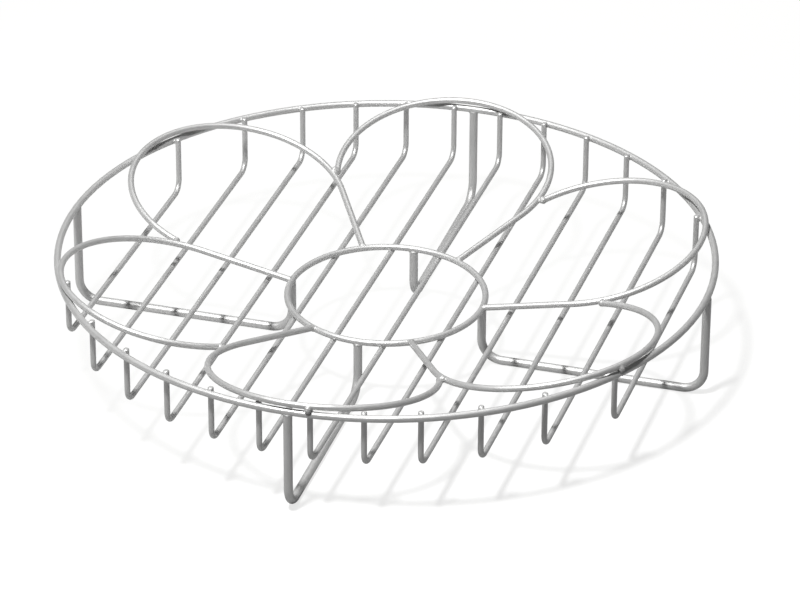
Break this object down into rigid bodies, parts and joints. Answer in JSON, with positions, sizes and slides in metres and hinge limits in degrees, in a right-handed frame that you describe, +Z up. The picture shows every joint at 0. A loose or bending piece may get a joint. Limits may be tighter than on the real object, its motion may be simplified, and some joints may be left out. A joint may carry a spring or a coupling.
{
  "type": "cooling rack",
  "caption": "Round footed wire cooling rack: a hoop over a basket of parallel wires, with a low centre ring and a ring of looped petal wires that rise to the hoop.",
  "frame": {"origin": "on the table under the middle of the rack, at the lowest line of the legs", "axes": "+Z up; the parallel basket wires run along Y; the four legs stand one degree anticlockwise of the X and Y axes, seen from above"},
  "size_m": [0.3058, 0.3058, 0.0562],
  "materials": {
    "hoop": "satin bright plating over drawn round steel wire, closed ring",
    "ring": "satin bright plating over drawn round steel wire, closed ring",
    "basket": "satin bright plating over drawn round steel wire, bent to a U",
    "petal": "satin bright plating over drawn round steel wire, bent to a loop",
    "leg": "satin bright plating over thicker drawn round steel wire, bent to a U"
  },
  "bodies": {
    "root": {"outer_hoop": "hoop", "centre_ring": "ring", "basket_wire_01": "basket", "basket_wire_02": "basket", "basket_wire_03": "basket", "basket_wire_04": "basket", "basket_wire_05": "basket", "basket_wire_06": "basket", "basket_wire_07": "basket", "basket_wire_08": "basket", "basket_wire_09": "basket", "basket_wire_10": "basket", "basket_wire_11": "basket", "basket_wire_12": "basket", "petal_wire_01": "petal", "petal_wire_02": "petal", "petal_wire_03": "petal", "petal_wire_04": "petal", "petal_wire_05": "petal", "petal_wire_06": "petal", "leg_right": "leg", "leg_back": "leg", "leg_left": "leg", "leg_front": "leg"}
  },
  "joints": []
}
